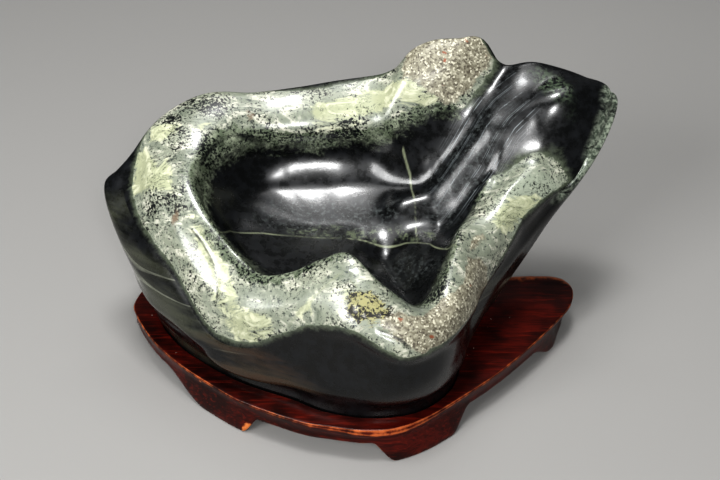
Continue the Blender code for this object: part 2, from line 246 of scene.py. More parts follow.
# Lines seen from above: kind and points. Veins are pale, cracks are dark, and
# "across" is the run of the channel, which its scratches keep to.
LINES = [
    ("vein", (-68.1, -7.4), (-59.7, 6.3), (-45.5, 10.1), (-30.8, 11.1), (-14, 10.3), (2.4, 9.9),
     (21.3, 7.8), (32.2, 3.8), (42.4, -14.6)),
    ("vein", (20.4, 44.1), (23.9, 39.2), (25.9, 24.5), (26.4, 6.4)),
    ("vein", (-7.3, -40), (-18, -44.5), (-30.1, -47.3)),
    ("vein", (-4.2, -44), (0.8, -48)),
    ("crack", (-73.4, 24.2), (-70, 32), (-65.1, 38.3), (-59.5, 42.4), (-53, 44.6), (-45, 46)),
    ("crack", (-75.1, -7), (-69.7, -12.2), (-65, -18.7), (-63.3, -24.4), (-63.1, -29.7)),
    ("crack", (7.6, -60.7), (10.3, -61.3), (17.9, -63.0), (21.1, -64.3)),
    ("crack", (-6.2, -45.3), (-4.4, -41.8)),
    ("crack", (-3.2, -39.6), (-0.4, -38.2), (1.6, -38.6)),
    ("stripe", (-30, 15), (-14, 14.5), (2.4, 14), (21, 12), (31, 9)),
    ("across", (10, 22), (36, 24), (52, 36), (66, 48), (84, 56)),
]


# ---- the stone's shape ------------------------------------------------------
def smooth_step(x):
    x = np.clip(x, 0, 1)
    return x * x * (3 - 2 * x)


def smooth_ring(bearings, values, at):
    """Values given at bearings, read anywhere round the ring, rounded through."""
    b = np.radians(np.concatenate([bearings[-2:] - 360, bearings, bearings[:3] + 360]))
    v = np.concatenate([values[-2:], values, values[:3]])
    slope = (v[2:] - v[:-2]) / (b[2:] - b[:-2])
    b, v = b[1:-1], v[1:-1]
    i = np.clip(np.searchsorted(b, at, side="right") - 1, 0, len(b) - 2)
    step = b[i + 1] - b[i]
    u = (at - b[i]) / step
    return ((1 + 2 * u) * (1 - u) ** 2 * v[i] + u * (1 - u) ** 2 * step * slope[i]
            + u * u * (3 - 2 * u) * v[i + 1] - u * u * (1 - u) * step * slope[i + 1])


def rounded(a, b, c, d, u):
    """The point at u on the curve from b to c, with a before it and d after it."""
    return 0.5 * (2 * b + (c - a) * u + (2 * a - 5 * b + 4 * c - d) * u ** 2
                  + (3 * b - a - 3 * c + d) * u ** 3)


def section_points(foot, belly, belly_z, shoulder, shoulder_z, crown, lip, lip_z,
                   bench, bench_z, wall):
    """Radius and height of the section's points, from the underside to the floor."""
    run = np.hypot(shoulder - lip, shoulder_z - lip_z)
    out_r = (shoulder + lip) / 2 + crown * (lip_z - shoulder_z) / run
    out_z = (shoulder_z + lip_z) / 2 + crown * (shoulder - lip) / run
    zero = 0 * foot
    return [
        (zero, zero + UNDERSIDE_Z),
        (foot * 0.6, zero + UNDERSIDE_Z),
        (foot - 2.0, zero + UNDERSIDE_Z),
        (foot - 0.4, zero + UNDERSIDE_Z + 0.9),
        (foot + 0.3, zero + FOOT_Z + 0.5),
        (foot + 0.1 * (belly - foot) + 1.2, zero + FOOT_Z + 6.0),
        ((foot + belly) / 2 + FLANK_SWELL, (FOOT_Z + belly_z) / 2 + 2),
        (belly, belly_z),
        (shoulder + 0.7 * (belly - shoulder) + 0.6, shoulder_z - 0.38 * (shoulder_z - belly_z)),
        (shoulder, shoulder_z),
        (out_r, out_z),
        (lip, lip_z),
        (lip * 0.5 + bench * 0.5 + wall, lip_z * 0.42 + bench_z * 0.58),
        (bench, bench_z),
        (bench * 0.83, bench_z * 0.52 + FLOOR_Z * 0.48),
        (bench * 0.45, bench_z * 0.07 + FLOOR_Z * 0.93),
        (zero, zero + FLOOR_Z),
    ]


def along_section(points, t):
    """Radius and height at t, a share of the way along the section's points."""
    rows = np.array(points)
    first = rows[1] * [[-1], [1]]
    last = rows[-2] * [[-1], [1]]
    rows = np.concatenate([[first], rows, [last]])
    s = t * (len(points) - 1)
    i = np.clip(s.astype(int), 0, len(points) - 2)
    u = (s - i)[:, None, None]
    return rounded(rows[i], rows[i + 1], rows[i + 2], rows[i + 3], u)


def oval_place(x, y, cx, cy, half_length, half_width, turn):
    """Places along and across a turned oval, as shares of its half sizes."""
    c, s = math.cos(math.radians(turn)), math.sin(math.radians(turn))
    return (((x - cx) * c + (y - cy) * s) / half_length,
            ((y - cy) * c - (x - cx) * s) / half_width)


def swell_rise(x, y):
    """How far the swells lift the upper skin."""
    rise = np.zeros_like(x)
    for _name, *oval, height in SWELLS:
        u, v = oval_place(x, y, *oval)
        rise += height * np.exp(-FALL * (u * u + v * v))
    return rise


def run_rise(x, y):
    """How far the troughs and ridges lift it."""
    rise = np.zeros_like(x)
    for _name, half_width, height, *points in RUNS:
        off = off_line(x, y, points)
        rise += height * np.exp(-FALL * (off / half_width) ** 2)
    return rise


def off_line(x, y, points):
    """Distance, seen from above, to the line through the points."""
    best = np.full_like(x, 1e3)
    for (ax, ay), (bx, by) in zip(points, points[1:]):
        length = math.hypot(bx - ax, by - ay)
        ux, uy = (bx - ax) / length, (by - ay) / length
        along = np.clip((x - ax) * ux + (y - ay) * uy, 0, length)
        best = np.minimum(best, np.hypot(x - ax - along * ux, y - ay - along * uy))
    return best


def wall_push(bearing, radius, z):
    """How far the dents and ribs push the outer wall out."""
    push = np.zeros_like(z)
    for _name, middle, height, half_width, half_height, out in WALL:
        u, v = wall_place(bearing, radius, z, middle, height)
        push += out * np.exp(-FALL * ((u / half_width) ** 2 + (v / half_height) ** 2))
    return push


def wall_place(bearing, radius, z, middle, height):
    """Distance along the wall, and up it, from a place on it."""
    turn = (bearing - math.radians(middle) + math.pi) % (2 * math.pi) - math.pi
    return turn * np.maximum(radius, LEAST_RADIUS), z - height


def stone_surface(bearing, t):
    """Points of the stone's skin in millimetres, for arrays of bearing and t."""
    columns = []
    for table in (np.array(STATIONS, float), np.array(BENCH, float)):
        columns += [smooth_ring(table[:, 0], table[:, k], bearing)
                    for k in range(1, table.shape[1])]
    rows = along_section(section_points(*columns), t)
    radius, z = rows[:, 0, :], rows[:, 1, :]
    # the dents end half a span past the shoulder, and 4 mm above the foot
    outer = np.clip(SHOULDER_SPAN + 0.5 - t * SPANS, 0, 1)[:, None]
    outer = outer * np.clip((z - FOOT_Z - 4) / 8, 0, 1)
    radius = radius + outer * wall_push(bearing, radius, z)
    lean = AXIS_LEAN * np.maximum(z - FOOT_Z, 0)
    x = AXIS_X + radius * np.cos(bearing)
    y = AXIS_Y + lean + radius * np.sin(bearing)
    upper = smooth_step((t * SPANS - SHOULDER_SPAN) / SWELL_SPANS + 1)[:, None]
    z = z + upper * (swell_rise(x, y) + run_rise(x, y))
    return np.stack([x, y, z], axis=-1)


def stone_bearings(count):
    """Bearings at even steps along the line of the shoulder."""
    table = np.array(STATIONS, float)
    turn = np.linspace(0, 2 * math.pi, RING_SAMPLES + 1)
    radius = smooth_ring(table[:, 0], table[:, 4], turn[:-1])
    radius = np.append(radius, radius[0])
    x, y = radius * np.cos(turn), radius * np.sin(turn)
    length = np.concatenate([[0], np.cumsum(np.hypot(np.diff(x), np.diff(y)))])
    at = np.arange(count) * length[-1] / count
    return np.interp(at, length, turn)


# ---- the minerals' places ---------------------------------------------------
def patch_depth(x, y, cx, cy, half_length, half_width, turn):
    """How far inside an oval patch each point lies, in mm; outside is negative."""
    off = np.hypot(*oval_place(x, y, cx, cy, half_length, half_width, turn))
    return (1 - off) * min(half_length, half_width)


def area_depth(x, y, outline):
    """How far inside an outline each point lies, in mm; outside is negative."""
    inside = np.zeros(x.shape, bool)
    for (ax, ay), (bx, by) in zip(outline, outline[1:] + outline[:1]):
        crossed = (ay > y) != (by > y)
        if ay != by:
            inside ^= crossed & (x < ax + (y - ay) * (bx - ax) / (by - ay))
    off = off_line(x, y, list(outline) + [outline[0]])
    return np.where(inside, off, -off)


def stone_marks(points, bearing, t):
    """The numbers that the stone's material reads, one array for each name."""
    x, y, z = points[..., 0], points[..., 1], points[..., 2]
    upper = (t * SPANS >= UPPER_SPAN)[:, None] & np.ones_like(x, bool)
    radius = np.hypot(x - AXIS_X, y - AXIS_Y - AXIS_LEAN * np.maximum(z - FOOT_Z, 0))
    steps = np.linalg.norm(np.diff(points, axis=0), axis=-1)
    run = np.concatenate([np.zeros((1, points.shape[1])), np.cumsum(steps, axis=0)])
    shoulder = run[np.argmin(abs(t * SPANS - SHOULDER_SPAN))]
    lip = run[np.argmin(abs(t * SPANS - LIP_SPAN))]
    rind = np.array(RIND, float)
    marks = {
        "rind_outer": run - shoulder + smooth_ring(rind[:, 0], rind[:, 1], bearing),
        "rind_inner": lip - run + smooth_ring(rind[:, 0], rind[:, 2], bearing),
    }
    marks["fade"] = marks["rind_inner"] + smooth_ring(rind[:, 0], rind[:, 3], bearing)
    for mineral in MINERALS:
        marks[mineral] = np.full_like(x, FAR_OUTSIDE)
    above = [(kind, area_depth(x, y, outline)) for kind, *outline in AREAS]
    above += [(kind, patch_depth(x, y, *patch)) for kind, *patch in PATCHES]
    for kind, inside in above:
        marks[kind] = np.where(upper, np.maximum(marks[kind], inside), marks[kind])
    for kind, middle, height, half_width, half_height in WALL_PATCHES:
        u, v = wall_place(bearing, radius, z, middle, height)
        inside = (1 - np.hypot(u / half_width, v / half_height)) * half_height
        marks[kind] = np.where(upper, marks[kind], np.maximum(marks[kind], inside))
    marks["rind_outer"] = np.minimum(marks["rind_outer"], -marks.pop("bare"))
    for kind, *line in LINES:
        off = marks.get(kind, np.full_like(x, FAR_FROM_LINE))
        marks[kind] = np.where(upper, np.minimum(off, off_line(x, y, line)), off)
    marks["stripe"] = STRIPE_REACH - marks["stripe"]
    return marks


def within_solid(points):
    """Draws in the outermost points, so that the skin reaches no further than the solid.

    The solid is faceted, and its corners cut the skin's round ends by a millimetre.
    """
    points = points.copy()
    for k in range(3):
        for side in (-1, 1):
            limit = side * CAD_BOX[(side + 1) // 2][k] / MM - BOX_MARGIN
            reach = (side * points[..., k]).max()
            if k == 2 and side < 0 or reach <= limit:
                continue
            knee = limit - BOX_KNEE
            beyond = side * points[..., k] - knee
            drawn = knee + beyond * BOX_KNEE / (reach - knee)
            points[..., k] = np.where(beyond > 0, side * drawn, points[..., k])
    return points


def ring_mesh(name, rings, marks):
    """A closed skin over rings of points, with the marks kept on its points."""
    count = rings.shape[1]
    inner = rings[1:-1].reshape(-1, 3)
    verts = np.concatenate([rings[0][:1], inner, rings[-1][:1]]) * MM
    rows = len(rings) - 2
    index = 1 + np.arange(rows * count).reshape(rows, count)
    ahead = np.roll(index, -1, axis=1)
    faces = np.stack([index[:-1], ahead[:-1], ahead[1:], index[1:]], axis=-1)
    faces = faces.reshape(-1, 4).tolist()
    last = len(verts) - 1
    faces += [(0, int(b), int(a)) for a, b in zip(index[0], ahead[0])]
    faces += [(last, int(a), int(b)) for a, b in zip(index[-1], ahead[-1])]
    mesh = bpy.data.meshes.new(name)
    mesh.from_pydata(verts.tolist(), [], faces)
    bm = bmesh.new()
    bm.from_mesh(mesh)
    bmesh.ops.recalc_face_normals(bm, faces=bm.faces)
    bm.to_mesh(mesh)
    bm.free()
    mesh.shade_smooth()
    for key, values in marks.items():
        flat = np.concatenate([values[0][:1], values[1:-1].ravel(), values[-1][:1]])
        attribute = mesh.attributes.new(key, "FLOAT", "POINT")
        attribute.data.foreach_set("value", flat.astype(np.float32))
    return mesh


def add_object(name, data):
    """A mesh, a light or a camera as an object of the scene."""
    ob = bpy.data.objects.new(name, data)
    bpy.context.scene.collection.objects.link(ob)
    return ob


# ---- nodes ------------------------------------------------------------------
MATH = "ShaderNodeMath"
STEP = "ShaderNodeMapRange"
MIX = "ShaderNodeMix"
MARK = "ShaderNodeAttribute"
NOISE = "ShaderNodeTexNoise"
SMOOTH = {"interpolation_type": "SMOOTHSTEP"}
COLOR = {"data_type": "RGBA", "out": 2}
TIMES = {"operation": "MULTIPLY"}
TIMES_PLUS = {"operation": "MULTIPLY_ADD"}
LARGER = {"operation": "MAXIMUM"}
LIKE = {"operation": "COMPARE"}
LUMP = 500.0             # a noise's scale, times the width of its lumps in mm


def linear(hex_color):
    """An sRGB colour such as "#5a1a10" as linear RGB."""
    parts = [int(hex_color[i:i + 2], 16) / 255 for i in (1, 3, 5)]
    return [c / 12.92 if c <= 0.04045 else ((c + 0.055) / 1.055) ** 2.4 for c in parts]


def add(tree, kind, inputs=(), out=0, **settings):
    """Adds a node with its settings and links, and gives back one of its outputs.

    inputs maps a socket to a value, to a colour or to another node's output.
    """
    item = tree.nodes.new(kind)
    for key, value in settings.items():
        setattr(item, key, value)
    for key, value in dict(inputs).items():
        socket = item.inputs[key]
        if isinstance(value, bpy.types.NodeSocket):
            tree.links.new(value, socket)
        elif isinstance(value, str) and value.startswith("#"):
            socket.default_value = (*linear(value), 1.0)
        elif socket.type == "RGBA":
            socket.default_value = (*value, 1.0)
        else:
            socket.default_value = value
    return item.outputs[out]


def new_material(name):
    """An empty material with its node tree and its shader."""
    old = bpy.data.materials.get(name)
    if old:
        bpy.data.materials.remove(old)
    mat = bpy.data.materials.new(name)
    mat.use_nodes = True
    return mat, mat.node_tree, mat.node_tree.nodes["Principled BSDF"]


def area_mask(tree, name, noise, wander, soft):
    """1 inside a marked area, 0 outside, its edge moved in and out by the noise.

    The mark is a depth in millimetres, and so are wander and soft.
    """
    depth = add(tree, MARK, attribute_name=name, out="Fac")
    shift = add(tree, MATH, {0: noise, 1: wander * 2, 2: -wander}, **TIMES_PLUS)
    depth = add(tree, MATH, {0: depth, 1: shift}, operation="ADD")
    return add(tree, STEP, {0: depth, 1: -soft, 2: soft}, **SMOOTH)


def coats(tree, color, *layers):
    """Lays one tone after another over a colour, each as strongly as its shares multiplied."""
    for tone, share, *others in layers:
        for other in others:
            share = add(tree, MATH, {0: share, 1: other}, **TIMES)
        color = add(tree, MIX, {0: share, 6: color, 7: tone}, **COLOR)
    return color


# ---- the stone's polish -------------------------------------------------------
# Noises: name, the place it is read at, width of its lumps in mm, detail,
# roughness and distortion.
STONE_NOISES = [
    ("coarse", "place", 8, 3.0, 0.6, 0.0),
    ("middle", "place", 2.6, 4.0, 0.65, 0.0),
    ("fine", "place", 0.9, 3.0, 0.7, 0.0),
    ("tiny", "place", 0.62, 4.0, 0.7, 0.25),
    ("stains", "place", 3.0, 2.0, 0.5, 0.0),
    ("beds", "level", 7, 5.0, 0.65, 0.0),
    ("seams", "level", 11, 1.0, 0.5, 0.3),
    ("swirl", "flow", 3.4, 5.0, 0.7, 1.2),
]

# Patterns: name, the noise it is drawn from, where it sets in and where it is full.
STONE_PATTERNS = [
    ("hair", "lines", 0.58, 0.66), ("mottle", "middle", 0.35, 0.8),
    ("patchy", "middle", 0.36, 0.56), ("cloud", "middle", 0.42, 0.62),
    ("grit", "fine", 0.46, 0.74), ("speck", "fine", 0.44, 0.58), ("pepper", "fine", 0.58, 0.64),
    ("bands", "beds", 0.44, 0.66), ("marble", "coarse", 0.38, 0.60),
    ("patch", "coarse", 0.46, 0.56), ("cream", "swirl", 0.50, 0.66),
    ("murky", "swirl", 0.46, 0.32), ("drift", "swirl", 0.34, 0.56),
    ("feldspar", "fine", 0.36, 0.66), ("quartz", "grains", 0.80, 0.90),
    ("mica", "grains", 0.22, 0.12), ("iron", "stains", 0.66, 0.72),
]

# Edges of the marked areas: mark, the noise that moves the edge, by how many mm,
# and the half width of the soft edge in mm.
STONE_EDGES = [
    ("rind_outer", "middle", 1.6, 0.4), ("rind_inner", "middle", 6.0, 1.4),
    ("scratched", "coarse", 5.0, 5.0), ("dusty", "coarse", 6.0, 4.0), ("veil", "beds", 8.0, 5.0),
    ("brown", "beds", 8.0, 5.0), ("moss", "coarse", 5.0, 3.0), ("stripe", "coarse", 4.0, 2.2),
    ("grey", "coarse", 4.0, 4.0), ("plain", "swirl", 7.0, 0.8), ("dark", "coarse", 6.0, 4.0),
    ("tip", "coarse", 6.0, 3.0), ("rust", "middle", 1.5, 0.8), ("granite", "middle", 3.0, 0.6),
    ("nodule", "swirl", 9.0, 0.6),
]


def stone_fields(tree):
    """The noises, patterns and areas of the stone, each by its name."""
    place = add(tree, "ShaderNodeTexCoord", out="Object")
    # the beds lie nearly level, and the rind's swirls are drawn out from left to right
    level = add(tree, "ShaderNodeMapping", {"Vector": place, "Rotation": (0.12, -0.10, 0.0),
                                            "Scale": (0.16, 0.16, 1.0)})
    flow = add(tree, "ShaderNodeMapping", {"Vector": place, "Rotation": (0.0, 0.0, -0.5),
                                           "Scale": (0.45, 1.0, 1.0)})
    field = {"place": place, "level": level, "flow": flow}
    for name, at, lump, detail, rough, distortion in STONE_NOISES:
        field[name] = add(tree, NOISE, {
            "Vector": field[at], "Scale": LUMP / lump, "Detail": detail, "Roughness": rough,
            "Distortion": distortion})
    # scratches run along the channel; real ones are finer than a tenth of a
    # millimetre, too fine to show, so these are drawn a few times as wide
    across = add(tree, MARK, attribute_name="across", out="Fac")
    field["lines"] = add(tree, NOISE, {"W": across, "Scale": 1.3, "Detail": 3.0, "Roughness": 0.8},
                         noise_dimensions="1D")
    # the granite's grains are a little under 1 mm across
    grains = add(tree, "ShaderNodeTexVoronoi", {"Vector": place, "Scale": 1000 / 0.8}, out="Color")
    field["grains"] = add(tree, "ShaderNodeSeparateColor", {0: grains})
    for name, noise, low, high in STONE_PATTERNS:
        field[name] = add(tree, STEP, {0: field[noise], 1: low, 2: high}, **SMOOTH)
    for name, noise, wander, soft in STONE_EDGES:
        field[name] = area_mask(tree, name, field[noise], wander, soft)
    return SimpleNamespace(**field)


def belt(tree, skin, name, swirls, grains, low, high, most, within):
    """A belt along the rind's edge, its own edge ragged by swirls and grains, in mm."""
    depth = add(tree, MARK, attribute_name=name, out="Fac")
    depth = add(tree, MATH, {0: skin.swirl, 1: swirls, 2: depth}, **TIMES_PLUS)
    depth = add(tree, MATH, {0: skin.fine, 1: grains, 2: depth}, **TIMES_PLUS)
    share = add(tree, STEP, {0: depth, 1: low, 2: high, 4: most}, **SMOOTH)
    return add(tree, MATH, {0: share, 1: within}, **TIMES)


def body_color(tree, skin, look):
    """The black body, with all that lies on it outside the rind."""
    murk = coats(tree, "#596151", ("#8f9583", skin.mottle))
    seam = add(tree, MATH, {0: skin.seams, 1: 0.52, 2: 0.008}, **LIKE)
    skirt = belt(tree, skin, "rind_outer", 6.0, 4.0, 1.4, 6.2, 0.8, skin.rind_inner)
    return coats(
        tree, look.body,
        ("#15171a", skin.mottle),
        ("#73797b", skin.scratch),
        # grey dust, and a painted sheen: this grey stands in for light reflected on the gully's
        # facet, the channel and the hollow's floor
        ("#565b5a", skin.dusty, skin.grit, 0.6),
        # olive-grey veils on the outer wall, lying level like the stone's beds
        ("#43453a", skin.veil, skin.bands, 0.75),
        ("#85877a", skin.veil, skin.bands, 0.75, seam),
        ("#3a2a1e", skin.brown, skin.bands),
        # moss-green speckle on the nose, and the stripe that crosses the hollow
        ("#4d5848", skin.moss, skin.speck),
        ("#565d49", skin.stripe, skin.cloud, skin.speck),
        # grey-green belts, down into the hollow and below the shoulder
        (murk, skin.fade),
        ("#5d6455", skirt))


def fleck_share(tree, skin):
    """Dark flecks, crowded along both edges of the rind and in the dark patches."""
    outer_depth = add(tree, MARK, attribute_name="rind_outer", out="Fac")
    inner_depth = add(tree, MARK, attribute_name="rind_inner", out="Fac")
    rim = add(tree, STEP, {0: outer_depth, 1: 4.0, 2: 0.5, 4: 0.5}, **SMOOTH)
    lip = add(tree, STEP, {0: inner_depth, 1: 5.0, 2: -1.0}, **SMOOTH)
    crowd = add(tree, MATH, {0: rim, 1: lip}, **LARGER)
    crowd = add(tree, MATH, {0: crowd, 1: skin.dark}, **LARGER)
    # a fleck shows where the tiny noise is over a limit, which each of these moves
    limit = 0.822
    for field, by in ((skin.coarse, -0.46), (crowd, -0.072), (skin.plain, 0.10)):
        limit = add(tree, MATH, {0: field, 1: by, 2: limit}, **TIMES_PLUS)
    above = add(tree, MATH, {0: skin.tiny, 1: limit}, operation="SUBTRACT")
    fleck = add(tree, STEP, {0: above, 1: -0.008, 2: 0.022}, **SMOOTH)
    # dark hairlines wander through the flecked parts
    thread = add(tree, MATH, {0: skin.swirl, 1: 0.47, 2: 0.008}, **LIKE)
    patch = add(tree, MATH, {0: skin.patch, 1: crowd}, **LARGER)
    thread = add(tree, MATH, {0: thread, 1: patch}, **TIMES)
    thread = add(tree, MATH, {0: thread, 1: 0.85}, **TIMES)
    # and a finer pepper lies over all of the rind, thinner where it is plain
    full = add(tree, MATH, {0: skin.plain, 1: -0.4, 2: 0.5}, **TIMES_PLUS)
    pepper = add(tree, MATH, {0: skin.pepper, 1: full}, **TIMES)
    fleck = add(tree, MATH, {0: fleck, 1: thread}, **LARGER)
    return add(tree, MATH, {0: fleck, 1: pepper}, **LARGER)


def rind_color(tree, skin, look):
    """The rind: celadon, cream and grey-green, marbled, under its dark flecks."""
    plain = coats(tree, look.plain, ("#959980", skin.marble), ("#b6b7a0", skin.cream))
    inky = coats(tree, "#3f484c", (look.fleck, skin.marble))
    return coats(
        tree, "#787d70",
        (look.rind, skin.marble),
        ("#b4b3a6", skin.cream),
        ("#646a5e", skin.murky),
        ("#6b7164", skin.grit, 0.6),
        ("#8b9284", skin.grey, 0.75),
        (plain, skin.plain),
        (inky, skin.fleck))


def granite_color(tree, skin, look):
    """Granite: grey-brown feldspar, white quartz, black mica and a little rust."""
    return coats(
        tree, "#6a6658",
        (look.granite, skin.feldspar),
        ("#b4b1a0", skin.quartz),
        ("#4a443b", skin.mica, 0.8),
        ("#7d4f3a", skin.iron))


def nodule_color(tree, skin):
    """Yellow with black blotches."""
    blotch = add(tree, MATH, {0: skin.swirl, 1: 0.8, 2: skin.tiny}, **TIMES_PLUS)
    blotch = add(tree, STEP, {0: blotch, 1: 0.90, 2: 0.97}, **SMOOTH)
    return coats(tree, "#88855f", ("#1b1912", blotch))


def polished_stone(look):
    """Serpentine with a pale rind and granite patches, ground, polished and waxed.

    The black body takes a mirror polish under the wax, with a faint haze where it
    is scratched. The rind is softer and stays a little duller, and the granite is
    sugary, with its grains standing up.
    """
    mat, tree, shader = new_material("serpentine, ground, polished and waxed")
    skin = stone_fields(tree)
    hair = add(tree, MATH, {0: skin.hair, 1: skin.patchy}, **TIMES)
    skin.scratch = add(tree, MATH, {0: hair, 1: skin.scratched}, **TIMES)
    skin.fade = belt(tree, skin, "fade", 20.0, 14.0, 14.0, 21.0, 1.0, skin.rind_outer)
    skin.fleck = fleck_share(tree, skin)
    rind = add(tree, MATH, {0: skin.rind_outer, 1: skin.rind_inner}, **TIMES)
    granite = add(tree, MATH, {0: skin.granite, 1: skin.rind_outer}, **TIMES)

    # the nose's tip is grey-green under a dark pepper
    peppered = coats(tree, "#80877a", ("#485046", skin.speck))
    color = coats(
        tree, body_color(tree, skin, look),
        (rind_color(tree, skin, look), rind),
        ("#0d1011", skin.fleck, skin.fade),
        (peppered, skin.tip, skin.drift),
        ("#625443", skin.rust, skin.cloud),
        (granite_color(tree, skin, look), granite),
        (nodule_color(tree, skin), skin.nodule))
    # pale veins and dark cracks, each a line about half a millimetre wide
    for kind, tone, share in (("vein", "#7f846e", 0.74), ("crack", "#101312", 0.9)):
        off = add(tree, MARK, attribute_name=kind, out="Fac")
        off = add(tree, MATH, {0: skin.middle, 1: 0.6, 2: off}, **TIMES_PLUS)
        line = add(tree, STEP, {0: off, 1: 1.05, 2: 0.4}, **SMOOTH)
        faint = add(tree, STEP, {0: skin.coarse, 1: 0.35, 2: 0.55, 3: 0.35 * share, 4: share},
                    **SMOOTH)
        color = coats(tree, color, (tone, line, faint))
    tree.links.new(color, shader.inputs["Base Color"])

    # polish: the black body is smoothest, the nodule and granite are dullest
    rough = add(tree, STEP, {0: skin.middle, 1: 0.36, 2: 0.64, 3: 0.22, 4: 0.36}, **SMOOTH)
    for field, by in ((rind, 0.08), (skin.scratch, 0.20), (skin.scratched, 0.04),
                      (granite, 0.12), (skin.nodule, 0.25)):
        rough = add(tree, MATH, {0: field, 1: by, 2: rough}, **TIMES_PLUS)
    tree.links.new(rough, shader.inputs["Roughness"])
    # the wax is thin on the granite, and half gone where the channel is scratched
    dulled = add(tree, MATH, {0: skin.scratched, 1: 0.45}, **TIMES)
    dulled = add(tree, MATH, {0: granite, 1: dulled}, **LARGER)
    wax = add(tree, MATH, {0: dulled, 1: -0.8 * look.wax, 2: look.wax}, **TIMES_PLUS)
    tree.links.new(wax, shader.inputs["Coat Weight"])
    shader.inputs["IOR"].default_value = 1.56        # serpentine
    shader.inputs["Specular IOR Level"].default_value = 0.32
    shader.inputs["Coat Roughness"].default_value = 0.165
    shader.inputs["Coat IOR"].default_value = 1.45   # wax

    # the granite's grains and the rind's swirls stand up, too finely for the mesh
    sugar = add(tree, MATH, {0: granite, 1: skin.grains}, **TIMES)
    lumps = add(tree, MATH, {0: skin.swirl, 1: 0.6, 2: sugar}, **TIMES_PLUS)
    bump = add(tree, "ShaderNodeBump", {"Height": lumps, "Strength": 0.35, "Distance": 0.00012})
    tree.links.new(bump, shader.inputs["Normal"])
    tree.links.new(bump, shader.inputs["Coat Normal"])
    return mat


# ---- the stand's lacquer ------------------------------------------------------
def lacquered_wood(look):
    """Hardwood, carved and lacquered a dark red-brown.

    The lacquer is glossy and follows the gouge marks. Along the edges it is orange,
    partly worn and partly a painted highlight where the edges catch the light, and
    the bare wood shows where the edge is chipped.
    """
    mat, tree, shader = new_material("hardwood, carved and lacquered")
    place = add(tree, "ShaderNodeTexCoord", out="Object")
    along = add(tree, "ShaderNodeMapping", {"Vector": place, "Rotation": (0.0, 0.0, 0.12),
                                            "Scale": (0.09, 1.0, 1.0)})
    # real pores are a few tenths of a millimetre wide, and drawn wider to show
    fibre = add(tree, NOISE, {"Vector": along, "Scale": LUMP / 0.8, "Detail": 4.0,
                              "Roughness": 0.6, "Distortion": 0.9})
    cloud = add(tree, NOISE, {"Vector": place, "Scale": LUMP / 12, "Detail": 3.0,
                              "Roughness": 0.6})
    nick = add(tree, NOISE, {"Vector": place, "Scale": LUMP / 2.5, "Detail": 4.0,
                             "Roughness": 0.7})
    thin = add(tree, STEP, {0: cloud, 1: 0.35, 2: 0.68}, **SMOOTH)
    pore = add(tree, STEP, {0: fibre, 1: 0.50, 2: 0.62}, **SMOOTH)
    glow = add(tree, STEP, {0: fibre, 1: 0.45, 2: 0.36}, **SMOOTH)
    color = coats(tree, look.wood_dark, (look.wood, thin), ("#140302", pore, 0.5),
                  ("#7e2615", glow, 0.25))
    # worn edges and chips, where the lacquer is gone; the orange along the edges is also a painted
    # highlight, lines of light where the edges catch it
    gone = {}
    for mark, nicks, low, high, tone in (("arris", 1.3, 1.0, 1.55, look.worn),
                                         ("chip", 1.0, 0.80, 1.15, "#b8713f")):
        worn = add(tree, MARK, attribute_name=mark, out="Fac")
        worn = add(tree, MATH, {0: nick, 1: nicks, 2: worn}, **TIMES_PLUS)
        gone[mark] = add(tree, STEP, {0: worn, 1: low, 2: high}, **SMOOTH)
        color = coats(tree, color, (tone, gone[mark]))
    tree.links.new(color, shader.inputs["Base Color"])
    rough = add(tree, MATH, {0: gone["arris"], 1: 0.12, 2: 0.36}, **TIMES_PLUS)
    tree.links.new(rough, shader.inputs["Roughness"])
    shader.inputs["IOR"].default_value = 1.5         # lacquer
    shader.inputs["Specular IOR Level"].default_value = 0.25
    shader.inputs["Coat Weight"].default_value = 0.15
    shader.inputs["Coat Roughness"].default_value = 0.14
    bump = add(tree, "ShaderNodeBump", {"Height": fibre, "Strength": 0.3, "Distance": 0.0001})
    tree.links.new(bump, shader.inputs["Normal"])
    return mat


def plain_material(name, color, rough):
    """A finish of one colour: dry dust, which has no shine, and the paper underneath."""
    mat, _tree, shader = new_material(name)
    shader.inputs["Base Color"].default_value = (*color, 1.0)
    shader.inputs["Roughness"].default_value = rough
    return mat


# ---- relief and dust by geometry nodes ---------------------------------------
# Layers of relief: mark, the numbers between which it sets in, width of its lumps
# in mm, the noise that stays level, and the name of its height.
STONE_RELIEF = [
    ("granite", -0.5, 1.0, 2.4, 0.5, "Granite Height"),
    ("nodule", -0.5, 1.0, 2.2, 0.62, "Pit Depth"),
    ("crack", 1.3, 0.2, 4.0, 1.0, "Crack Depth"),
]
STAND_RELIEF = [
    ("arris", 0.2, 1.0, 5.0, 0.55, "Wear Depth"),
    ("rest", 0.0, 1.0, 7.0, 0.5, "Gouge Depth"),
]
FULL_TURNS = (6.2, 6.2, 6.2)     # in radians: a crumb lies any way up
DUST_SEED = 4


def new_tree(name, sockets):
    """A geometry node tree with a Geometry input and output and the named inputs."""
    old = bpy.data.node_groups.get(name)
    if old:
        bpy.data.node_groups.remove(old)
    tree = bpy.data.node_groups.new(name, "GeometryNodeTree")
    tree.interface.new_socket("Geometry", in_out="OUTPUT", socket_type="NodeSocketGeometry")
    tree.interface.new_socket("Geometry", in_out="INPUT", socket_type="NodeSocketGeometry")
    for label, kind in sockets:
        tree.interface.new_socket(label, in_out="INPUT", socket_type=kind)
    start = tree.nodes.new("NodeGroupInput")
    end = tree.nodes.new("NodeGroupOutput")
    return tree, start.outputs, end.inputs


def finished(tree, shape, given, result):
    """Ends a tree with real faces that carry its material."""
    real = add(tree, "GeometryNodeRealizeInstances", {"Geometry": shape})
    dressed = add(tree, "GeometryNodeSetMaterial",
                  {"Geometry": real, "Material": given["Material"]})
    tree.links.new(dressed, result["Geometry"])
    return tree


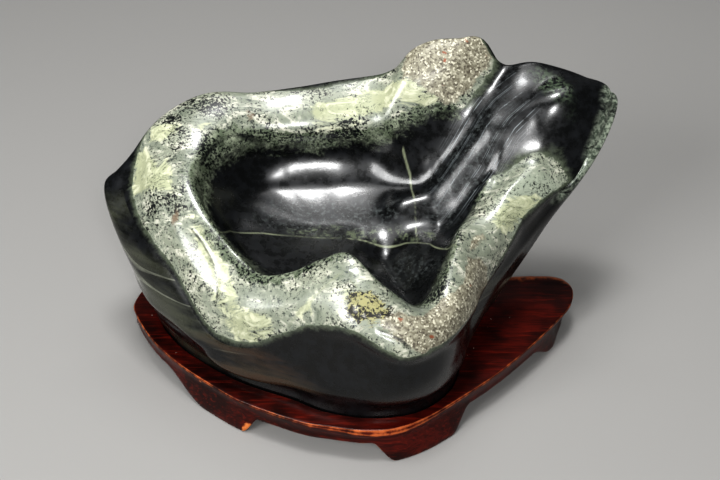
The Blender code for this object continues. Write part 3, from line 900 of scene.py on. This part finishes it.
def relief_tree(name, layers):
    """Pushes a skin in and out along its normals, layer by layer, where it is marked."""
    sockets = [(layer[-1], "NodeSocketFloat") for layer in layers]
    tree, given, result = new_tree(name, sockets + [("Material", "NodeSocketMaterial")])
    place = add(tree, "GeometryNodeInputPosition")
    normal = add(tree, "GeometryNodeInputNormal")
    shape = given["Geometry"]
    for key, low, high, lump, level, height in layers:
        value = add(tree, "GeometryNodeInputNamedAttribute", {"Name": key}, data_type="FLOAT")
        share = add(tree, STEP, {0: value, 1: low, 2: high}, **SMOOTH)
        noise = add(tree, NOISE, {"Vector": place, "Scale": LUMP / lump, "Detail": 3.0})
        lift = add(tree, MATH, {0: noise, 1: level}, operation="SUBTRACT")
        lift = add(tree, MATH, {0: lift, 1: share}, **TIMES)
        lift = add(tree, MATH, {0: lift, 1: given[height]}, **TIMES)
        push = add(tree, "ShaderNodeVectorMath", {0: normal, "Scale": lift}, operation="SCALE")
        shape = add(tree, "GeometryNodeSetPosition", {"Geometry": shape, "Offset": push})
    return finished(tree, shape, given, result)


def dust_tree():
    """Scatters small crumbs over the faces that look up where "rest" is marked."""
    tree, given, result = new_tree("dust", [
        ("Density", "NodeSocketFloat"), ("Size", "NodeSocketFloat"), ("Seed", "NodeSocketInt"),
        ("Material", "NodeSocketMaterial")])
    rest = add(tree, "GeometryNodeInputNamedAttribute", {"Name": "rest"}, data_type="FLOAT")
    density = add(tree, MATH, {0: rest, 1: given["Density"]}, **TIMES)
    points = add(tree, "GeometryNodeDistributePointsOnFaces",
                 {"Mesh": given["Geometry"], "Density": density, "Seed": given["Seed"]},
                 out="Points")
    crumb = add(tree, "GeometryNodeMeshIcoSphere", {"Radius": given["Size"], "Subdivisions": 1},
                out="Mesh")
    scale = add(tree, "FunctionNodeRandomValue", {2: 0.4, 3: 1.0, "Seed": given["Seed"]}, out=1)
    turn = add(tree, "FunctionNodeRandomValue", {1: FULL_TURNS, "Seed": given["Seed"]},
               data_type="FLOAT_VECTOR")
    many = add(tree, "GeometryNodeInstanceOnPoints",
               {"Points": points, "Instance": crumb, "Rotation": turn, "Scale": scale})
    return finished(tree, many, given, result)


def grow(ob, tree, values):
    """Runs the tree on the object and keeps its result as a plain mesh."""
    modifier = ob.modifiers.new(tree.name, "NODES")
    modifier.node_group = tree
    for item in tree.interface.items_tree:
        if item.in_out == "INPUT" and item.name in values:
            modifier[item.identifier] = values[item.name]
    source = ob.data
    graph = bpy.context.evaluated_depsgraph_get()
    seen = ob.evaluated_get(graph)
    mesh = bpy.data.meshes.new_from_object(seen, preserve_all_data_layers=True, depsgraph=graph)
    ob.modifiers.remove(modifier)
    ob.data = mesh
    mesh.name = ob.name
    bpy.data.meshes.remove(source)


# ---- the stand's shape ------------------------------------------------------
TOP_Z = 17.0
PLATE_UNDER_Z = 9.5
APRON_Z = 8.0            # how far down the apron reaches between the feet
NO_CHIP = -5.0           # the chip mark where there is none
SEAT_Z = 14.0
SEAT_GAP = 0.5           # room between the stone's foot and the seat's wall
FOOT_DEPTH = 9.0         # how far a foot reaches in from the outline
STAND_MIDDLE = np.array((0.0, -15.0))
OUTLINE_STEPS = 60       # steps to round each stretch of the outline with
TOP_RINGS = 24           # rings across the top, from the seat to the rim
TOP_EDGE = 0.9           # from the outline in to where the top is flat
UNDERSIDE_EDGE = 7.6     # and to where the underside is flat
BACK_BEVEL = (26, 9, 7.0)    # y where it sets in, over how much, and its width
RIGHT_INSET = (94, 9, 3.5)   # x where it sets in, over how much, and how deep
APEX = (12, 22)          # x of the front's apex and its half width

# Outline of the plate, x and y, going round from the left end by the front.
OUTLINE = [
    (-111, 16), (-109, 8), (-104, -2), (-96, -14), (-84, -27), (-70, -39),
    (-54, -51), (-38, -59), (-25, -64.5), (-14, -67), (2, -69.5), (16, -68),
    (30, -61), (47, -47.5), (62, -34.5), (78, -18), (93, 0), (103, 14),
    (106, 27), (102, 36), (90, 38.5), (60, 37), (20, 37.5), (-30, 37.5),
    (-70, 37), (-98, 35), (-107, 28),
]

# Feet: x and y near the middle of each, half length along the outline at the
# ground, the sweep of the apron before and after it, and how far it flares out.
FEET = [
    (-62, -46, 11, 30, 7, 2.6),
    (28, -62, 14, 10, 16, 4.0),
    (98, 7, 8, 16, 14, 0.5),
    (96, 38, 10, 14, 14, 1.0),
    (-4, 37.5, 13, 14, 14, 1.0),
    (-104, 31, 10, 14, 14, 1.0),
]

# Chips on a foot and on the edge of the top: x, y, z and radius.
CHIPS = [(-50.6, -54.0, 3.4, 3.6), (-53.0, -53.6, 1.4, 2.6), (-73.5, -35.6, 14.2, 1.5)]


def round_outline(points, count):
    """The closed outline through the points, with even steps along it."""
    around = [np.roll(np.array(points, float), k, axis=0)[:, None] for k in (1, 0, -1, -2)]
    u = np.linspace(0, 1, OUTLINE_STEPS, endpoint=False)[:, None]
    dense = rounded(*around, u).reshape(-1, 2)
    closed = np.vstack([dense, dense[:1]])
    length = np.concatenate([[0], np.cumsum(np.hypot(*np.diff(closed, axis=0).T))])
    at = np.arange(count) * length[-1] / count
    return np.stack([np.interp(at, length, closed[:, k]) for k in (0, 1)], axis=-1)


def foot_share(outline):
    """How far the feet are under the outline, from 0 to 1, and their flare."""
    n = len(outline)
    step = np.hypot(*(outline[1] - outline[0]))
    share = np.zeros(n)
    flare = np.zeros(n)
    for x, y, half, before, after, out in FEET:
        middle = int(np.argmin(np.hypot(outline[:, 0] - x, outline[:, 1] - y)))
        away = ((np.arange(n) - middle + n // 2) % n - n // 2) * step
        sweep = np.where(away < 0, before, after)
        here = 1 - smooth_step((np.abs(away) - half) / sweep)
        share = np.maximum(share, here)
        flare += out * here
    return share, flare


def stand_rings(count):
    """Rings of the stand from the middle of its top to the middle of its underside."""
    outline = round_outline(OUTLINE, count)
    ahead = np.roll(outline, -1, axis=0) - np.roll(outline, 1, axis=0)
    inward = np.stack([-ahead[:, 1], ahead[:, 0]], axis=-1)
    inward /= np.hypot(*inward.T)[:, None]
    foot, flare = foot_share(outline)
    back = smooth_step((outline[:, 1] - BACK_BEVEL[0]) / BACK_BEVEL[1])
    apex = np.exp(-((outline[:, 0] - APEX[0]) / APEX[1]) ** 2) * (outline[:, 1] < 0)
    under = APRON_Z - APRON_Z * foot
    inset = RIGHT_INSET[2] * smooth_step((outline[:, 0] - RIGHT_INSET[0]) / RIGHT_INSET[1])

    def ring(offset, z, shrink=1.0):
        flat = outline + inward * np.reshape(offset * np.ones(count), (-1, 1))
        flat = STAND_MIDDLE + (flat - STAND_MIDDLE) * shrink
        return np.column_stack([flat, z * np.ones(count)])

    # the seat: from its middle out to the foot's line, then up to the top
    axis = np.array((AXIS_X, AXIS_Y))
    x, y = (outline - axis).T
    bearing = np.arctan2(y, x) % (2 * math.pi)
    away = np.stack([np.cos(bearing), np.sin(bearing)], axis=-1)
    table = np.array(STATIONS, float)
    reach = smooth_ring(table[:, 0], table[:, 1], bearing) + SEAT_GAP
    seat = axis + reach[:, None] * away

    def seat_ring(share, z):
        flat = axis + (seat - axis) * share
        return np.column_stack([flat, z * np.ones(count)])

    rows = [seat_ring(share, SEAT_Z) for share in (0.0, 0.5, 0.98)]
    rows += [seat_ring(1.0, z) for z in (SEAT_Z, TOP_Z - 0.3)]
    arris = [0.0] * len(rows)
    top_edge = TOP_EDGE + BACK_BEVEL[2] * back
    rim = ring(top_edge, TOP_Z)
    # at the back the seat reaches into the bevel
    short = reach + 0.8 - np.hypot(rim[:, 0] - AXIS_X, rim[:, 1] - AXIS_Y)
    rim[:, :2] += np.maximum(short, 0.0)[:, None] * away
    start = seat_ring(1.0, TOP_Z)
    start[:, :2] += 0.3 * away
    rows += [start + (rim - start) * share for share in np.linspace(0, 0.98, TOP_RINGS)]
    arris += [0.0] * TOP_RINGS
    top_rows = slice(len(rows) - TOP_RINGS, len(rows))
    # the edge, from the top round to the underside: offset in from the outline,
    # height, and how much it is worn; this share is also a painted highlight, orange
    # lines where the edge catches the light
    profile = [
        (top_edge, TOP_Z, 0.1),
        (0.25 + 2.0 * back, TOP_Z - 0.10 - 0.3 * back, 0.7),
        (0.25, TOP_Z - 0.25 - 0.9 * back, 0.8),
        (0.06 - 0.5 * apex, TOP_Z - 0.5 - 0.9 * back - 0.6 * apex, 0.4),
        (0.0 - 0.9 * apex, TOP_Z - 0.9 - 0.9 * back - 1.4 * apex, 0.7),
        (0.4 - 1.05 * apex + 0.2 * inset, 14.2 - 0.4 * back - 0.6 * apex, 0.1),
        (0.9 - 1.2 * apex + 0.4 * inset, 12.6, 0.0),
        (1.0 - 0.15 * flare + 0.8 * inset, 11.4, 0.0),
        (1.1 - 0.3 * flare + inset, 10.2, 0.0),
        (1.0 - 0.5 * flare + inset, 9.7 * (1 - foot) + 7.4 * foot, 0.0),
        (0.9 - 0.8 * flare + inset, 9.2 * (1 - foot) + 4.5 * foot, 0.0),
        (0.9 - 1.0 * flare + inset, 8.8 * (1 - foot) + 2.2 * foot, 0.0),
        (0.9 - 1.1 * flare + inset, under + 0.5, 0.3),
        (1.05 - 1.1 * flare + inset, under + 0.15, 0.6),
        (1.4 - 1.1 * flare + inset, under, 0.2),
        (4.0 - 1.1 * flare + inset, under, 0.0),
        (7.0 + (FOOT_DEPTH - 7.0) * foot + inset, under, 0.0),
        (UNDERSIDE_EDGE + (FOOT_DEPTH - 6.0) * foot + inset, PLATE_UNDER_Z, 0.0),
    ]
    rows += [ring(offset, z) for offset, z, _worn_and_lit in profile]
    rows.append(ring(UNDERSIDE_EDGE, PLATE_UNDER_Z, 0.0))
    arris += [worn for _offset, _z, worn in profile] + [0.0]
    rows = np.array(rows)
    marks = {"arris": np.repeat(np.array(arris)[:, None], count, axis=1)}
    # the front apex, which hands reach first, is worn most, and its painted highlight is strongest
    marks["arris"] *= 0.85 + 0.35 * apex
    marks["chip"] = np.full(rows.shape[:2], NO_CHIP)
    for at_x, at_y, at_z, radius in CHIPS:
        off = np.linalg.norm(rows - np.array((at_x, at_y, at_z)), axis=-1)
        marks["chip"] = np.maximum(marks["chip"], 1 - off / radius)
    marks["rest"] = np.zeros(rows.shape[:2])
    marks["rest"][top_rows] = 1.0
    return rows, marks


# ---- properties and operators ------------------------------------------------
def color_property(name, description, hex_color):
    """A colour that a user may change, given in sRGB hex."""
    return FloatVectorProperty(name=name, description=description, subtype="COLOR", size=3,
                               min=0.0, max=1.0, default=linear(hex_color))


def length_property(name, description, metres):
    """A length that a user may change."""
    return FloatProperty(name=name, description=description, default=metres, unit="LENGTH")


def power_property(name, description, watts):
    """A light's power that a user may change."""
    return FloatProperty(name=name, description=description, default=watts, unit="POWER")


class StoneSettings(PropertyGroup):
    bearings: IntProperty(name="Bearings", description="Points round the stone", default=440,
                          min=76)
    granite_height: length_property("Granite height", "Height of the granite's grains", 0.00022)
    pit_depth: length_property("Pit depth", "Depth of the nodule's pits", 0.0012)
    crack_depth: length_property("Crack depth", "Depth of the cracks in the rind", 0.0005)
    wax: FloatProperty(name="Wax", description="How much of the surface the clear wax covers",
                       default=0.55, min=0.0, max=1.0, subtype="FACTOR")
    body: color_property("Body", "Colour of the black serpentine", "#0a0b0b")
    rind: color_property("Rind", "Main colour of the pale rind", "#8f9283")
    plain: color_property("Plain rind", "Colour of the rind where it has no flecks", "#94977e")
    fleck: color_property("Flecks", "Colour of the flecks in the rind", "#1b2324")
    granite: color_property("Granite", "Colour of the granite's feldspar", "#939080")


class StandSettings(PropertyGroup):
    points: IntProperty(name="Outline points", description="Points round the stand", default=720,
                        min=144)
    gouge_depth: length_property("Gouge depth", "Depth of the carver's tool marks", 0.0004)
    wear_depth: length_property("Wear depth", "How far the edges are worn down", 0.0006)
    wood: color_property("Lacquer", "Colour of the lacquer where it is thin", "#49120a")
    wood_dark: color_property("Dark lacquer", "Colour of the lacquer where it is thick", "#220704")
    # the orange of the edges is worn wood and also a painted highlight where the edges catch the
    # light
    worn: color_property("Worn edge", "Colour of the wood along worn edges", "#a95e34")
    crumbs: FloatProperty(name="Dust", description="Crumbs of dust to a square metre of the top",
                          default=2500.0, min=0.0)
    crumb_size: length_property("Dust size", "Radius of the largest crumb", 0.00025)


class StageSettings(PropertyGroup):
    overhead: power_property("Overhead light", "Power of the overhead softbox", 4.9)
    core: power_property("Overhead lamp", "Power of the lamp in the overhead softbox", 6.4)
    front: power_property("Front light", "Power of the lamp behind the viewer", 5.2)
    glow: power_property("Front glow", "Power of the cloth round the front lamp", 1.8)
    rear: power_property("Rear light", "Power of the strip above and behind", 1.0)
    side: power_property("Left light", "Power of the softbox at the front left", 8.5)
    floor: color_property("Floor", "Colour of the paper that the stand is on", "#878684")


class ROCK_OT_stone(Operator):
    """Make the stone's fine skin and its polish"""
    bl_idname = "rock.stone"
    bl_label = "Stone"

    def execute(self, context):
        look = context.scene.rock_stone
        bearing = stone_bearings(look.bearings)
        spans = [np.arange(n) / n + k for k, n in enumerate(STONE_STEPS)]
        t = np.append(np.concatenate(spans), SPANS) / SPANS
        points = stone_surface(bearing, t)
        mesh = ring_mesh("stone_skin", within_solid(points), stone_marks(points, bearing, t))
        ob = add_object("stone_skin", mesh)
        grow(ob, relief_tree("stone relief", STONE_RELIEF), {
            "Granite Height": look.granite_height, "Pit Depth": look.pit_depth,
            "Crack Depth": look.crack_depth, "Material": polished_stone(look)})
        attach(ob, "root")
        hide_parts("stone")
        return {"FINISHED"}


class ROCK_OT_stand(Operator):
    """Make the stand's carved edge, its lacquer and the dust on it"""
    bl_idname = "rock.stand"
    bl_label = "Stand"

    def execute(self, context):
        look = context.scene.rock_stand
        rings, marks = stand_rings(look.points)
        ob = add_object("stand_skin", ring_mesh("stand_skin", within_solid(rings), marks))
        grow(ob, relief_tree("stand relief", STAND_RELIEF), {
            "Wear Depth": look.wear_depth, "Gouge Depth": look.gouge_depth,
            "Material": lacquered_wood(look)})
        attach(ob, "root")
        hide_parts("stand")

        dust = add_object("dust", ob.data.copy())
        grow(dust, dust_tree(), {
            "Density": look.crumbs, "Size": look.crumb_size, "Seed": DUST_SEED,
            "Material": plain_material("lint and dust, dry", linear("#c9c4ba"), 0.9)})
        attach(dust, "root")
        return {"FINISHED"}


# Lights: name, place and size in metres, and the setting that gives the power.
# All of them aim at the middle of the object.
LIGHTS = [
    ("overhead", (-0.06, 0.06, 1.30), (1.12, 0.68), "overhead"),
    ("overhead lamp", (-0.04, 0.0, 1.25), (0.24, 0.24), "core"),
    ("front", (0.12, -0.90, 0.80), (0.19, 0.19), "front"),
    ("front glow", (0.12, -0.91, 0.81), (0.40, 0.40), "glow"),
    ("rear strip", (0.06, 0.62, 1.05), (0.52, 0.12), "rear"),
    ("front left", (-0.64, -0.64, 0.64), (0.50, 0.40), "side"),
]
AIM = Vector((0, 0.02, 0.08))
WORLD_COLOR = "#8c8e90"
WORLD_STRENGTH = 0.35
FLOOR_SIZE = 8.0
FLOOR_PLACE = (0, 1.0, -0.0002)      # a hair below the feet

# The camera: place in metres, tilt in degrees, focal length and sensor in mm.
CAMERA_PLACE = (0.0, -0.4455, 0.417)
CAMERA_TILT = 52.0
FOCAL_LENGTH = 62.05
SENSOR_WIDTH = 36.0


def area_light(name, at, size, power):
    light = bpy.data.lights.new(name, "AREA")
    light.shape = "RECTANGLE"
    light.size, light.size_y = size
    light.energy = power
    ob = add_object(name, light)
    ob.location = at
    ob.rotation_euler = (AIM - Vector(at)).to_track_quat("-Z", "Y").to_euler()


class ROCK_OT_stage(Operator):
    """Set the floor, the lights and the camera"""
    bl_idname = "rock.stage"
    bl_label = "Stage"

    def execute(self, context):
        look = context.scene.rock_stage
        bpy.ops.mesh.primitive_plane_add(size=FLOOR_SIZE, location=FLOOR_PLACE)
        floor = context.object
        floor.name = "floor"
        floor.data.materials.append(plain_material("backdrop paper, matt", look.floor, 0.9))
        context.scene.view_settings.view_transform = "Standard"
        context.scene.view_settings.look = "High Contrast"

        world = bpy.data.worlds.new("studio")
        context.scene.world = world
        world.use_nodes = True
        sky = world.node_tree.nodes["Background"]
        sky.inputs["Color"].default_value = (*linear(WORLD_COLOR), 1.0)
        sky.inputs["Strength"].default_value = WORLD_STRENGTH

        for name, at, size, setting in LIGHTS:
            area_light(name, at, size, getattr(look, setting))

        lens = bpy.data.cameras.new("camera")
        lens.sensor_width = SENSOR_WIDTH
        lens.lens = FOCAL_LENGTH
        camera = add_object("camera", lens)
        camera.location = CAMERA_PLACE
        camera.rotation_euler = (math.radians(CAMERA_TILT), 0.0, 0.0)
        context.scene.camera = camera
        return {"FINISHED"}


class ROCK_PT_panel(Panel):
    bl_label = "Scholars rock"
    bl_space_type = "VIEW_3D"
    bl_region_type = "UI"
    bl_category = "Rock"

    def draw(self, context):
        layout = self.layout
        for settings, operator in ((context.scene.rock_stone, "rock.stone"),
                                   (context.scene.rock_stand, "rock.stand"),
                                   (context.scene.rock_stage, "rock.stage")):
            box = layout.box()
            for key in settings.__annotations__:
                box.prop(settings, key)
            box.operator(operator)


SETTINGS = {"rock_stone": StoneSettings, "rock_stand": StandSettings, "rock_stage": StageSettings}
CLASSES = (*SETTINGS.values(), ROCK_OT_stone, ROCK_OT_stand, ROCK_OT_stage, ROCK_PT_panel)


def register():
    for cls in CLASSES:
        bpy.utils.register_class(cls)
    for name, settings in SETTINGS.items():
        setattr(bpy.types.Scene, name, PointerProperty(type=settings))


def unregister():
    for name in SETTINGS:
        delattr(bpy.types.Scene, name)
    for cls in reversed(CLASSES):
        bpy.utils.unregister_class(cls)


def main():
    register()
    bpy.ops.rock.stone()
    bpy.ops.rock.stand()
    bpy.ops.rock.stage()


if __name__ == "__main__":
    main()
